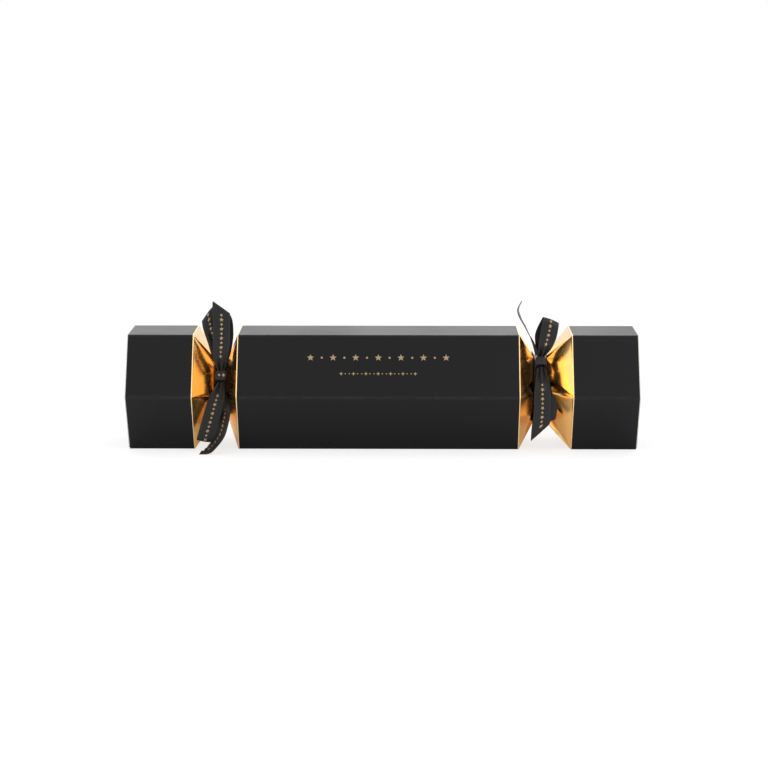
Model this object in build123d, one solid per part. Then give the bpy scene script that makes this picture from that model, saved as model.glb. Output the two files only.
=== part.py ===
from build123d import *
import math
import os

# Christmas cracker lying on one flat of its hexagon. Millimetres, X along the cracker, Z up,
# the front towards -Y, and the origin on the ground under the middle of the overall length.

# Card wrap
HEX_SIDE = 39.3            # width of one panel, measured outside
CARD = 0.6                 # thickness of the folded card
CREASE_RADIUS = 0.9        # outside radius of a long crease
BARREL_LENGTH = 165.0
END_LENGTH = 39.0          # from the neck to the outside of the lid
GLUE_FLAP = 12.0           # overlap where the wrap is glued shut

# Necks: axial run of each cone and radius of the ridges at the tie
LEFT_RUN_IN = 9.0
LEFT_RUN_OUT = 17.0
LEFT_TIE_RADIUS = 13.4
RIGHT_RUN_IN = 12.0
RIGHT_RUN_OUT = 19.0
RIGHT_TIE_RADIUS = 16.5
NECK_INSET = 0.3           # the neck starts this far inside the hexagon's corners
PLEAT_DEPTH = 5.5          # from a ridge down to the next valley at the tie
PLEAT_TURN = 36.0          # degrees from a ridge to the valley after it
PASSAGE_MARGIN = 1.0       # from a valley to the edge of the way through the tie

# Lids
FLAP_LENGTH = 14.0
FLAP_WIDTH = 32.0
FLAP_TILT = 8.0            # degrees, so that the flap swings clear of the tube
LID_INSET = 0.4            # the lid is this much smaller than the tube, except at its crease

# Ribbons
RIBBON_THICKNESS = 0.4
BAND_LIFT = 1.5            # from the ridges at the tie to the underside of the band
BAND_DEPTH = 5.3
KNOT_WIDTH = 6.4
KNOT_HEIGHT = 6.4
KNOT_THICKNESS = 4.6
KNOT_FILLET = 1.6
LEFT_KNOT_ANGLE = 25.0     # degrees above the horizontal, on the front
LEFT_KNOT_SHIFT = -1.1     # along X from the tie
RIGHT_KNOT_ANGLE = 43.5
RIGHT_KNOT_SHIFT = 0.9

# Snap
SNAP_CARD = 0.4
SNAP_WIDTH = 10.0
SNAP_OVERLAP = 30.0        # length over which the two strips lie on each other
SNAP_DROP = 5.0            # from the barrel's top panel down to the lower strip
SNAP_GLUE_GAP = 4.0        # from the lid to the end of the glued run
SNAP_GLUE_RUN = 27.0       # length glued under the cap's top panel
SNAP_RISE_RUN = 12.0       # from the barrel's edge to where the strip runs level
SNAP_WAIST_LIFT = 1.5      # height of the strip above the axis inside the tie
SNAP_BEND = 3.0
SLEEVE_LENGTH = 24.0
SLEEVE_WALL = 0.3

# Candle in its tin, lying in the barrel
TIN_HEADROOM = 2.5         # from the tin's lid up to the snap
TIN_LENGTH = 38.0
TIN_WALL = 0.35
TIN_FILLET = 2.0
TIN_FROM_LEFT = 23.0       # from the barrel's left edge to the closed end of the tin
LID_SKIRT = 10.0
LID_FILLET = 0.5
WAX_BELOW_RIM = 8.5        # from the tin's rim down to the wax
WICK_RADIUS = 1.0
WICK_ABOVE_WAX = 6.0
TAB_RADIUS = 10.0
TAB_THICKNESS = 0.4
TAB_COLLAR_RADIUS = 2.0
TAB_COLLAR_LENGTH = 3.0

# Rolled papers, lying in the barrel
CROWN_LENGTH = 68.0
CROWN_CORE = 4.0
CROWN_PITCH = 1.6
CROWN_HALF_TURNS = 7
CROWN_PAPER = 0.5
CROWN_Y = 6.0
MOTTO_LENGTH = 55.0
MOTTO_CORE = 2.5
MOTTO_PITCH = 1.0
MOTTO_HALF_TURNS = 5
MOTTO_PAPER = 0.3
MOTTO_Y = -13.0
PAPERS_FROM_RIGHT = 8.0    # from the barrel's right edge to the ends of the rolls

# Clearances
FIT = 0.3                  # between soft or loose pieces and what they lie on
RUNNING = 0.1              # between the candle's tin and its lid, and between the strips of the snap

COS30 = math.cos(math.radians(30))
FLATS = 2 * HEX_SIDE * COS30
AXIS_Z = FLATS / 2
NECK_BASE = HEX_SIDE - NECK_INSET
LENGTH = (BARREL_LENGTH + 2 * END_LENGTH
          + LEFT_RUN_IN + LEFT_RUN_OUT + RIGHT_RUN_IN + RIGHT_RUN_OUT)
BARREL_LEFT = -LENGTH / 2 + END_LENGTH + LEFT_RUN_OUT + LEFT_RUN_IN
BARREL_RIGHT = BARREL_LEFT + BARREL_LENGTH


class End:
    """One end of the cracker: where its neck, tie and cap lie along X."""

    def __init__(self, side, barrel_x, run_in, run_out, tie_radius, knot_angle, knot_shift):
        self.side = side
        self.barrel_x = barrel_x
        self.waist_x = barrel_x + side * run_in
        self.cap_x = self.waist_x + side * run_out
        self.outer_x = self.cap_x + side * END_LENGTH
        self.run_in = run_in
        self.run_out = run_out
        self.ridge = tie_radius
        self.valley = tie_radius - PLEAT_DEPTH
        self.band_radius = tie_radius + BAND_LIFT + BAND_DEPTH
        self.knot_angle = math.radians(knot_angle)
        self.knot_x = self.waist_x + knot_shift


LEFT = End(-1, BARREL_LEFT, LEFT_RUN_IN, LEFT_RUN_OUT,
           LEFT_TIE_RADIUS, LEFT_KNOT_ANGLE, LEFT_KNOT_SHIFT)
RIGHT = End(1, BARREL_RIGHT, RIGHT_RUN_IN, RIGHT_RUN_OUT,
            RIGHT_TIE_RADIUS, RIGHT_KNOT_ANGLE, RIGHT_KNOT_SHIFT)

# Ribbon routes. Each station is along X from the tie, Y, height above the axis, width, the turn of
# the width about Z in degrees, and the slope of the width where the ribbon is cut or folded aslant.
LEFT_UPPER_TAIL = [
    (-1.0, -20.8, 13.4, 3.5, 0, 0),
    (-1.2, -21.6, 19.0, 7.5, 0, 0),
    (-0.6, -21.6, 29.0, 10.0, 5, 0),
    (-0.4, -20.2, 40.0, 10.0, 8, 0),
    (-0.6, -18.4, 50.3, 12.4, 0, -0.72),
]
LEFT_UPPER_LOOP = [
    (-1.6, -18.4, 13.6, 3.0, 0, 0),
    (-2.9, -17.8, 20.0, 6.2, 0, 0.1),
    (-5.0, -17.0, 30.0, 7.8, 10, 0.3),
    (-7.2, -16.2, 38.6, 9.6, 10, 0.6),
    (-8.5, -15.3, 45.2, 12.0, 0, 1.3),
    (-8.7, -14.3, 46.0, 12.0, 0, 1.3),
    (-8.2, -13.3, 45.4, 12.0, 0, 1.4),
    (-3.6, -12.8, 44.6, 10.2, 0, 1.5),
    (0.3, -12.8, 41.4, 10.4, 0, 0.8),
    (1.4, -14.0, 33.0, 10.0, 0, 0.36),
    (1.2, -15.6, 22.6, 7.0, 0, 0.2),
    (-0.4, -16.4, 13.6, 3.0, 0, 0),
]
LEFT_LOWER_LOOP = [
    (-1.0, -23.0, 6.2, 3.4, 0, 0),
    (-2.4, -25.0, 0.5, 7.4, 0, -0.1),
    (-3.9, -26.6, -5.0, 9.4, 0, -0.2),
    (-6.0, -27.4, -14.5, 10.0, 0, -0.26),
    (-9.2, -28.0, -26.6, 10.0, 0, -0.15),
    (-9.4, -27.1, -27.6, 10.0, 0, -0.12),
    (-9.1, -26.2, -26.6, 10.0, 0, -0.15),
    (-6.0, -25.6, -14.5, 9.6, 0, -0.26),
    (-3.4, -24.2, -4.0, 7.4, 0, -0.1),
    (-1.6, -21.4, 5.2, 3.0, 0, 0),
]
LEFT_LOWER_TAIL = [
    (-0.7, -20.8, 2.6, 3.0, 0, 0),
    (0.4, -21.6, -4.0, 5.8, -15, 0),
    (1.5, -23.6, -7.6, 7.6, -38, 0),
    (2.3, -26.6, -11.4, 9.2, -58, 0),
    (2.0, -30.6, -16.5, 10.0, -66, -0.1),
    (-0.2, -33.4, -22.6, 10.0, -70, -0.26),
]
RIGHT_UPPER_LOOP = [
    (1.0, -16.9, 21.2, 3.2, 0, 0),
    (2.9, -18.4, 26.0, 7.4, 0, -0.15),
    (4.9, -18.4, 33.0, 9.8, 0, -0.22),
    (6.5, -17.0, 41.4, 9.9, 0, -0.37),
    (6.6, -15.4, 42.5, 9.9, 0, -0.38),
    (6.0, -13.9, 41.2, 9.9, 0, -0.37),
    (2.6, -12.2, 33.0, 10.0, 0, -0.15),
    (1.4, -13.4, 26.5, 7.0, 0, -0.1),
    (0.4, -15.3, 20.2, 3.0, 0, 0),
]
RIGHT_UPPER_TAIL = [
    (-1.6, -16.2, 21.8, 3.0, 87, -0.14),
    (-3.4, -15.6, 27.6, 7.4, 86, -0.14),
    (-7.5, -14.6, 36.4, 10.0, 86, -0.14),
    (-11.7, -14.2, 44.6, 10.0, 81, -0.14),
    (-12.6, -14.2, 48.6, 10.0, 83, -0.14),
    (-10.6, -14.2, 53.5, 10.0, 87, -0.14),
]
RIGHT_LOWER_TAIL = [
    (0.9, -22.5, 15.6, 3.4, 0, 0),
    (1.2, -25.4, 9.0, 7.0, 0, 0),
    (1.5, -27.6, 0.0, 9.8, 0, 0),
    (1.4, -28.2, -12.0, 10.2, 0, 0),
    (0.2, -28.0, -22.6, 14.4, 0, 0.92),
]
RIGHT_LOWER_LOOP = [
    (2.4, -21.0, 14.3, 2.2, 0, 0),
    (2.6, -24.0, 8.0, 5.4, 0, 0),
    (3.4, -26.0, 0.6, 8.6, 0, -0.1),
    (5.2, -26.6, -6.0, 10.0, 0, -0.05),
    (5.0, -26.6, -12.0, 10.0, 0, 0.15),
    (4.6, -25.8, -16.2, 9.6, 0, 0.3),
    (4.2, -25.0, -12.0, 9.4, 0, 0.15),
    (2.6, -24.4, -2.0, 7.4, 0, 0),
    (1.0, -22.6, 8.4, 4.0, 0, 0),
    (-0.6, -20.4, 14.2, 2.2, 0, 0),
]
# Last stretch of the left lower tail, which lies on the ground: along X from the tie, Y, height of its
# middle above the ground, width, turn and slope.
LEFT_TAIL_ON_GROUND = [
    (-4.4, -33.9, 5.8, 10.0, -79, -0.32),
    (-8.2, -34.1, 1.9, 10.0, -88, -0.25),
    (-10.8, -34.1, 1.7, 8.3, -123, -0.3),
]


def cross_plane(x, z=AXIS_Z):
    """Plane across the cracker at x: its own x runs along Y and its own y along Z."""
    return Plane((x, 0, z), x_dir=(0, 1, 0), z_dir=(1, 0, 0))


def hexagon(side, crease):
    return fillet(RegularPolygon(side, 6).vertices(), crease)


def card_tube(x_from, x_to):
    """Hexagonal sleeve with its glue flap inside the lower back panel."""
    inside = HEX_SIDE - CARD / COS30
    wall = hexagon(HEX_SIDE, CREASE_RADIUS) - hexagon(inside, max(CREASE_RADIUS - CARD, CARD / 4))
    sleeve = extrude(cross_plane(x_from) * wall, x_to - x_from)
    outward = Vector(0, COS30, -0.5)
    upward = Vector(0, 0.5, COS30)
    middle = Vector((x_from + x_to) / 2, 0, AXIS_Z)
    seat = middle + outward * (AXIS_Z - 1.5 * CARD) - upward * (inside / 2 - CREASE_RADIUS - GLUE_FLAP / 2)
    flap = Plane(seat, x_dir=(1, 0, 0), z_dir=outward) * Box(x_to - x_from, GLUE_FLAP, CARD)
    return sleeve + flap


def ring_point(x, radius, degrees):
    angle = math.radians(degrees)
    return Vector(x, radius * math.cos(angle), AXIS_Z + radius * math.sin(angle))


def faceted_solid(outlines):
    """Solid bounded by flat faces, each given by its corners, anticlockwise seen from outside."""
    return Solid(Shell([Face(Wire.make_polygon(outline, close=True)) for outline in outlines]))


def pleated_cone(base_x, waist_x, ridge, valley):
    """Solid cone from a hexagon to a six-pointed star, with one knife pleat beside each corner."""
    corners = [ring_point(base_x, NECK_BASE, 60 * k) for k in range(6)]
    ridges = [ring_point(waist_x, ridge, 60 * k) for k in range(6)]
    valleys = [ring_point(waist_x, valley, 60 * k + PLEAT_TURN) for k in range(6)]
    star = [point for pair in zip(ridges, valleys) for point in pair]
    outlines = [corners[::-1], star]
    for k in range(6):
        after = (k + 1) % 6
        outlines.append([corners[k], corners[after], ridges[k]])
        outlines.append([corners[after], valleys[k], ridges[k]])
        outlines.append([corners[after], ridges[after], valleys[k]])
    if waist_x < base_x:
        outlines = [outline[::-1] for outline in outlines]
    return faceted_solid(outlines)


def neck_half(end, base_x):
    """Pleated foil card from the edge of a tube down to the tie, open in the middle."""
    towards_waist = math.copysign(1, end.waist_x - base_x)
    steepness = (NECK_BASE - end.ridge) / abs(end.waist_x - base_x)
    wall_along_x = CARD * math.hypot(1, steepness) / steepness
    cone = pleated_cone(base_x, end.waist_x, end.ridge, end.valley)
    hollow = Pos(-towards_waist * wall_along_x, 0, 0) * cone
    passage = extrude(cross_plane(end.waist_x) * Circle(end.valley - PASSAGE_MARGIN), 2 * CARD, both=True)
    return cone - hollow - passage


def end_tube(end):
    covered_x = end.outer_x - end.side * CARD
    return card_tube(min(end.cap_x, covered_x), max(end.cap_x, covered_x))


def end_lid(end):
    """Hexagon that closes the cap, creased along its top edge, with a tuck flap at the bottom."""
    side = HEX_SIDE - LID_INSET / COS30
    inner_x = end.outer_x - end.side * CARD
    outline = cross_plane(inner_x, AXIS_Z + LID_INSET) * hexagon(side, CREASE_RADIUS)
    plate = extrude(outline, end.side * CARD)
    root_z = CARD + FIT + LID_INSET
    tip_x = inner_x - end.side * FLAP_LENGTH
    tip_z = root_z + FLAP_LENGTH * math.tan(math.radians(FLAP_TILT))
    lower_edge = [(inner_x, root_z), (tip_x, tip_z)]
    upper_edge = [(tip_x, tip_z + CARD), (inner_x, root_z + CARD)]
    profile = Plane.XZ * Polygon(*lower_edge, *upper_edge, align=None)
    flap = extrude(profile, FLAP_WIDTH / 2, both=True)
    return plate + flap


def tie_band(end):
    """Ring of gathered ribbon, wedge-shaped to fill the groove between the two cones."""
    def groove(radius, run):
        depth = NECK_BASE - end.ridge
        clearance = FIT * math.hypot(run, depth) / depth
        return run * (radius - end.ridge) / depth - clearance

    low = end.ridge + BAND_LIFT
    high = end.band_radius
    outline = [
        (end.waist_x - end.side * groove(low, end.run_in), AXIS_Z + low),
        (end.waist_x - end.side * groove(high, end.run_in), AXIS_Z + high),
        (end.waist_x + end.side * groove(high, end.run_out), AXIS_Z + high),
        (end.waist_x + end.side * groove(low, end.run_out), AXIS_Z + low),
    ]
    section = Plane.XZ * Polygon(*outline, align=None)
    return revolve(section, axis=Axis((0, 0, AXIS_Z), (1, 0, 0)))


def knot(end):
    outward = Vector(0, -math.cos(end.knot_angle), math.sin(end.knot_angle))
    centre = Vector(end.knot_x, 0, AXIS_Z) + outward * (end.band_radius + FIT + KNOT_THICKNESS / 2)
    block = Box(KNOT_WIDTH, KNOT_HEIGHT, KNOT_THICKNESS)
    block = fillet(block.edges(), KNOT_FILLET)
    return Plane(centre, x_dir=(1, 0, 0), z_dir=outward) * block


def ribbon(points, widths):
    """Faceted strip through the points, with the direction and length of its width at each one.

    Both of its faces are split along the same diagonals, so that it keeps its thickness where it twists.
    """
    rings = []
    for i, point in enumerate(points):
        ahead = points[min(i + 1, len(points) - 1)] - points[max(i - 1, 0)]
        across = widths[i] / 2
        lift = ahead.cross(widths[i]).normalized() * (RIBBON_THICKNESS / 2)
        under = [point - across - lift, point + across - lift]
        over = [point + across + lift, point - across + lift]
        rings.append(under + over)
    outlines = [rings[0][::-1], rings[-1]]
    for ring, following in zip(rings, rings[1:]):
        for k in range(4):
            after = (k + 1) % 4
            if k < 2:
                outlines.append([ring[k], ring[after], following[after]])
                outlines.append([ring[k], following[after], following[k]])
            else:
                outlines.append([ring[k], ring[after], following[k]])
                outlines.append([ring[after], following[after], following[k]])
    return faceted_solid(outlines)


def ribbon_route(end, stations, on_ground=()):
    points = [Vector(end.waist_x + x, y, AXIS_Z + z) for x, y, z, *_ in stations]
    points += [Vector(end.waist_x + x, y, z) for x, y, z, *_ in on_ground]
    widths = []
    for _, _, _, width, turn, slope in [*stations, *on_ground]:
        angle = math.radians(turn)
        widths.append(Vector(math.cos(angle), math.sin(angle), slope).normalized() * width)
    return ribbon(points, widths)


def snap_strip(end, level):
    """Strip glued under the cap's top panel, led through the tie and along the top of the barrel."""
    glued_z = FLATS - CARD - SNAP_CARD / 2
    lid_x = end.outer_x - end.side * CARD
    far_x = (BARREL_LEFT + BARREL_RIGHT) / 2 - end.side * SNAP_OVERLAP / 2
    route = [
        (lid_x - end.side * SNAP_GLUE_GAP, glued_z),
        (lid_x - end.side * (SNAP_GLUE_GAP + SNAP_GLUE_RUN), glued_z),
        (end.waist_x, AXIS_Z + SNAP_WAIST_LIFT),
        (end.barrel_x - end.side * SNAP_RISE_RUN, level),
        (far_x, level),
    ]
    strip = trace(FilletPolyline(*route, radius=SNAP_BEND), SNAP_CARD)
    return extrude(Plane.XZ * strip, SNAP_WIDTH / 2, both=True)


def snap_sleeve(low_level, high_level):
    inside_height = high_level - low_level + SNAP_CARD + 2 * RUNNING
    inside_width = SNAP_WIDTH + 2 * FIT
    outside = Rectangle(inside_width + 2 * SLEEVE_WALL, inside_height + 2 * SLEEVE_WALL)
    wall = outside - Rectangle(inside_width, inside_height)
    start = (BARREL_LEFT + BARREL_RIGHT - SLEEVE_LENGTH) / 2
    return extrude(cross_plane(start, (low_level + high_level) / 2) * wall, SLEEVE_LENGTH)


LOW_SNAP = FLATS - CARD - SNAP_DROP
HIGH_SNAP = LOW_SNAP + SNAP_CARD + RUNNING
LID_RADIUS = (LOW_SNAP - SNAP_CARD / 2 - TIN_HEADROOM - CARD - FIT) / 2
TIN_RADIUS = LID_RADIUS - TIN_WALL - RUNNING
CANDLE_Z = CARD + FIT + LID_RADIUS
TIN_X = BARREL_LEFT + TIN_FROM_LEFT
RIM_X = TIN_X + TIN_LENGTH
WAX_X = TIN_X + TIN_WALL + RUNNING
WAX_TOP_X = RIM_X - WAX_BELOW_RIM


def rod(x_from, x_to, radius):
    """Solid cylinder on the candle's axis."""
    return extrude(cross_plane(x_from, CANDLE_Z) * Circle(radius), x_to - x_from)


def candle_tin():
    outside = rod(TIN_X, RIM_X, TIN_RADIUS)
    outside = fillet(outside.edges().sort_by(Axis.X)[0], TIN_FILLET)
    inside = rod(TIN_X + TIN_WALL, RIM_X, TIN_RADIUS - TIN_WALL)
    inside = fillet(inside.edges().sort_by(Axis.X)[0], TIN_FILLET - TIN_WALL)
    return outside - inside


def candle_lid():
    outside = rod(RIM_X - LID_SKIRT, RIM_X + RUNNING + TIN_WALL, LID_RADIUS)
    outside = fillet(outside.edges().sort_by(Axis.X)[-1], LID_FILLET)
    return outside - rod(RIM_X - LID_SKIRT, RIM_X + RUNNING, LID_RADIUS - TIN_WALL)


def wick_tab():
    plate = rod(WAX_X, WAX_X + TAB_THICKNESS, TAB_RADIUS)
    collar = rod(WAX_X, WAX_X + TAB_COLLAR_LENGTH, TAB_COLLAR_RADIUS)
    return plate + collar - rod(WAX_X + TAB_THICKNESS, WAX_X + TAB_COLLAR_LENGTH, WICK_RADIUS + RUNNING)


def candle_wick():
    return rod(WAX_X + TAB_THICKNESS, WAX_TOP_X + WICK_ABOVE_WAX, WICK_RADIUS)


def candle_wax():
    body = rod(WAX_X, WAX_TOP_X, TIN_RADIUS - TIN_WALL - RUNNING)
    body = fillet(body.edges().sort_by(Axis.X)[0], TIN_FILLET - TIN_WALL)
    tab_pocket = rod(WAX_X, WAX_X + TAB_THICKNESS + RUNNING, TAB_RADIUS + RUNNING)
    collar_pocket = rod(WAX_X, WAX_X + TAB_COLLAR_LENGTH + RUNNING, TAB_COLLAR_RADIUS + RUNNING)
    return body - tab_pocket - collar_pocket - rod(WAX_X, WAX_TOP_X, WICK_RADIUS + RUNNING)


def rolled_paper(length, core, pitch, half_turns, paper, y):
    """Sheet rolled up along X: half circles of growing radius, resting on the barrel's bottom panel."""
    step = pitch / 2
    arcs = []
    for i in range(half_turns):
        centre = 0 if i % 2 == 0 else step
        start = 0 if i % 2 == 0 else 180
        arcs.append(CenterArc((centre, 0), core + i * step, start, 180))
    lowest_arc = 2 * (half_turns // 2) - 1
    section = trace(Wire(arcs), paper)
    axis_z = CARD + FIT + core + lowest_arc * step + paper / 2
    place = cross_plane(BARREL_RIGHT - PAPERS_FROM_RIGHT - length, axis_z) * Pos(y, 0)
    return extrude(place * section, length)


NODES = {
    "barrel_tube": card_tube(BARREL_LEFT, BARREL_RIGHT),
    "left_snap_strip": snap_strip(LEFT, LOW_SNAP),
    "right_snap_strip": snap_strip(RIGHT, HIGH_SNAP),
    "snap_sleeve": snap_sleeve(LOW_SNAP, HIGH_SNAP),
    "candle_tin": candle_tin(),
    "candle_lid": candle_lid(),
    "candle_wax": candle_wax(),
    "candle_wick": candle_wick(),
    "candle_wick_tab": wick_tab(),
    "paper_crown": rolled_paper(CROWN_LENGTH, CROWN_CORE, CROWN_PITCH,
                                CROWN_HALF_TURNS, CROWN_PAPER, CROWN_Y),
    "motto_slip": rolled_paper(MOTTO_LENGTH, MOTTO_CORE, MOTTO_PITCH,
                               MOTTO_HALF_TURNS, MOTTO_PAPER, MOTTO_Y),
    "left_ribbon_upper_tail": ribbon_route(LEFT, LEFT_UPPER_TAIL),
    "left_ribbon_upper_loop": ribbon_route(LEFT, LEFT_UPPER_LOOP),
    "left_ribbon_lower_loop": ribbon_route(LEFT, LEFT_LOWER_LOOP),
    "left_ribbon_lower_tail": ribbon_route(LEFT, LEFT_LOWER_TAIL, LEFT_TAIL_ON_GROUND),
    "right_ribbon_upper_tail": ribbon_route(RIGHT, RIGHT_UPPER_TAIL),
    "right_ribbon_upper_loop": ribbon_route(RIGHT, RIGHT_UPPER_LOOP),
    "right_ribbon_lower_loop": ribbon_route(RIGHT, RIGHT_LOWER_LOOP),
    "right_ribbon_lower_tail": ribbon_route(RIGHT, RIGHT_LOWER_TAIL),
}
for name, end in (("left", LEFT), ("right", RIGHT)):
    NODES[name + "_neck_inner"] = neck_half(end, end.barrel_x)
    NODES[name + "_neck_outer"] = neck_half(end, end.cap_x)
    NODES[name + "_end_tube"] = end_tube(end)
    NODES[name + "_end_lid"] = end_lid(end)
    NODES[name + "_ribbon_band"] = tie_band(end)
    NODES[name + "_ribbon_knot"] = knot(end)

os.makedirs("parts", exist_ok=True)
for name, solid in NODES.items():
    export_step(solid, "parts/" + name + ".step")
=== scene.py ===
import math

import bpy
import numpy as np
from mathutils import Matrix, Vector, noise


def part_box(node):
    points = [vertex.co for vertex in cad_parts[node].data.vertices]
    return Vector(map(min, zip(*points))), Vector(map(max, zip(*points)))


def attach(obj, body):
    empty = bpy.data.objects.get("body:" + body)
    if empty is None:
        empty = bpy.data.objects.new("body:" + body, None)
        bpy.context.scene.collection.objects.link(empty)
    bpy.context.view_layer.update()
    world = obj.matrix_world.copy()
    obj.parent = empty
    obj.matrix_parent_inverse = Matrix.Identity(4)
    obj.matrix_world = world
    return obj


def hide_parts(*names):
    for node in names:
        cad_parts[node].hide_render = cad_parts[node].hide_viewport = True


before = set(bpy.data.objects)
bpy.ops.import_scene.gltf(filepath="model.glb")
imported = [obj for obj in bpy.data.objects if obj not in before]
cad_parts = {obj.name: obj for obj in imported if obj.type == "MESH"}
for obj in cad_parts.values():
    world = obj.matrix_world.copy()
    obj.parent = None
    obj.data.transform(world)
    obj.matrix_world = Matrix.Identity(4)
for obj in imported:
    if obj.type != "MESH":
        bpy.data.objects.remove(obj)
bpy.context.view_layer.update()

# Metres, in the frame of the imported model: X along the cracker, Z up, the front towards -Y.
MM = 0.001

# Camera
CAMERA_PLACE = Vector((15.1, -1429.9, 275.1)) * MM
CAMERA_TARGET = Vector((0.55, 0.0, 35.7)) * MM
CAMERA_LENS = 114.02
CAMERA_SENSOR = 36.0
CAMERA_NEAR = 0.05
CAMERA_FAR = 100.0

# Floor and light
FLOOR_HALF = 40.0
FLOOR_GREY = (0.92, 0.92, 0.92, 1)
FLOOR_WHITE = 0.75           # share of the floor beside the object that is plain white to the camera
FLOOR_FADE = (0.25, 0.8)     # distances between which the floor turns all white to the camera
FLOOR_MIRRORED = 0.22        # share of the floor that is plain white to mirrors
SKY_LIGHT = 0.95             # strength of the white surroundings as a light
SKY_FRONT = 0.85             # strength of the surroundings that mirrors see towards the front
SKY_TURN = (-1.0, 0.1)       # directions along Y between which the surroundings brighten to mirrors
# Each softbox has a place, a point that it faces, a width and height, and watts.
SOFTBOXES = {
    "overhead": ((0, 0.4, 1.6), (0, 0, 0), (2.0, 1.4), 10),
    "behind": ((0, 1.6, 0.85), (0, 0, 0.03), (2.6, 0.9), 8),
    "left_side": ((-1.3, -0.55, 1.0), (0, 0, 0.03), (2.4, 2.0), 7.5),
    "right_side": ((1.05, -0.85, 1.05), (0, 0, 0.03), (1.0, 1.0), 9),
}

# Colours; tones are two colours that a surface wanders between
BLACK = (0.0045, 0.0045, 0.0047, 1)
# paler black for the creases: partly edge wear, partly a painted highlight along the rounded corners
BLACK_WORN_AND_HIGHLIT = (0.020, 0.020, 0.021, 1)
BOARD_TONES = ((0.50, 0.48, 0.44, 1), (0.62, 0.60, 0.56, 1))
FOIL_TONES = ((0.96, 0.59, 0.215, 1), (0.94, 0.54, 0.185, 1))
RIM_TONES = ((0.97, 0.82, 0.56, 1), (0.96, 0.76, 0.46, 1))
PRINT_TONES = ((0.41, 0.30, 0.18, 1), (0.32, 0.23, 0.13, 1))
SATIN_TONES = ((0.0100, 0.0098, 0.0104, 1), (0.0150, 0.0145, 0.0150, 1))
SATIN_EDGE = (0.020, 0.019, 0.019, 1)
SNAP_TONES = ((0.42, 0.33, 0.23, 1), (0.54, 0.44, 0.32, 1))
GRIT_TONES = ((0.05, 0.045, 0.045, 1), (0.11, 0.10, 0.10, 1))
SLEEVE_TONES = ((0.62, 0.55, 0.43, 1), (0.74, 0.68, 0.57, 1))
TISSUE_TONES = ((0.42, 0.030, 0.035, 1), (0.52, 0.045, 0.05, 1))
MOTTO_TONES = ((0.78, 0.76, 0.71, 1), (0.86, 0.84, 0.80, 1))
WICK_TONES = ((0.80, 0.77, 0.70, 1), (0.88, 0.85, 0.79, 1))
TIN_TONES = ((0.80, 0.80, 0.81, 1), (0.70, 0.70, 0.71, 1))
TAB_TONES = ((0.60, 0.60, 0.60, 1), (0.52, 0.52, 0.52, 1))
WAX_TONES = ((0.80, 0.75, 0.62, 1), (0.86, 0.82, 0.71, 1))
NOISE_RANGE = (0.3, 0.7)     # most of the noise falls between these values

# Card wrap and snap; the barrel's box is read from the frame
BARREL_LOW, BARREL_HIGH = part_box("barrel_tube")
BARREL_MIDDLE = (BARREL_LOW.x + BARREL_HIGH.x) / 2
COS30 = math.cos(math.radians(30))
AXIS_Z = (BARREL_LOW.z + BARREL_HIGH.z) / 2
HEX_SIDE = (BARREL_HIGH.z - BARREL_LOW.z) / (2 * COS30)
CARD = 0.6 * MM
CREASE_RADIUS = 0.9 * MM
CREASE_POINTS = 5
CREASE_WEAR_AND_HIGHLIGHT_START = 0.75 * MM        # depths inside the hexagon's corners between which the creases turn paler: partly edge wear, partly a painted highlight
CREASE_WEAR_AND_HIGHLIGHT_FULL = 0.12 * MM
PATCH_HALF = 14.0 * MM       # half the length of the snap's friction patch
PATCH_EDGE = 0.5 * MM

# Necks: where their foil starts, the lip that it bends over, and the knife pleats at the tie
NECK_INSET = 0.3 * MM
NECK_BASE = HEX_SIDE - NECK_INSET
LIP = 0.35 * MM
# Each row of the lip has a share of its length and a lift off the tube's panel.
LIP_ROWS = ((0.0, 0.05 * MM), (0.45, 0.0), (0.85, -0.12 * MM))
PLEAT_DEPTH = 5.5 * MM       # reach of the ridges over the valleys at the tie
FOLD_START = 0.95            # share of a panel's edge at which the fold beside its corner begins
FOLD_STEP = 0.01             # share of that edge from the fold to the card tucked under it
FOLD_REACH = 0.88            # reach of a fold at the tie, as a share of the ridges' reach
FOLD_UNDER = 8.0             # degrees round the tie by which a fold hangs over the card under it
FOLD_WINDOW = 1.3 * MM       # stretch of the outline that a fold's rounding takes up
PANEL_COLUMNS = 16
FOLD_COLUMNS = 5
TUCK_COLUMNS = 10
PANEL_CROWN = 1.0            # rise of each stretch between folds, as a share of the bulge of its half
FOLD_CROWN = 0.0
TUCK_CROWN = -1.0
CONE_ROWS = 40
SWELL_RISE = 0.7             # power of the way from the tube by which a panel swells
SWELL_FALL = 6               # power by which the swell then falls off
PRESSED = 0.75               # share of the way to the tie from which the ribbon presses the foil flat
BUCKLE_LUMP = 14 * MM        # size of the dents in the foil
FOIL_EDGE = 0.3 * MM         # foil that shows on the black panels along their neck edges

# Ribbons
RIBBON_WIDTH = 10.0 * MM
RIBBON_THICKNESS = 0.26 * MM
RIBBON_COLUMNS = 36
RIBBON_POINTS = RIBBON_COLUMNS + 1
ROWS_PER_SPAN = 10
SHARE = np.linspace(-1, 1, RIBBON_POINTS)
FLAT_SHARE = 0.92            # share of the ribbon's width below which it gathers in waves
GATHERS = 2.0                # waves across a ribbon where it gathers
PHASE_PER_LETTER = 1.7       # radians of the waves' start for each letter of the piece's name
DRIFT = 0.9                  # radians by which the waves wander along a ribbon
DRIFT_LUMP = 6 * MM
CUP = 0.3 * MM               # rise of a ribbon's middle over its edges
SLACK = 0.18 * MM            # unevenness of the hanging cloth
SLACK_LUMP = 7 * MM
FLOAT_PITCH = 0.22 * MM      # satin threads along the ribbon
RIB_PITCH = 0.40 * MM        # threads across it
SELVEDGE = (0.55 * MM, 0.7 * MM)    # distances from the edge between which the close weave ends

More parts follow.
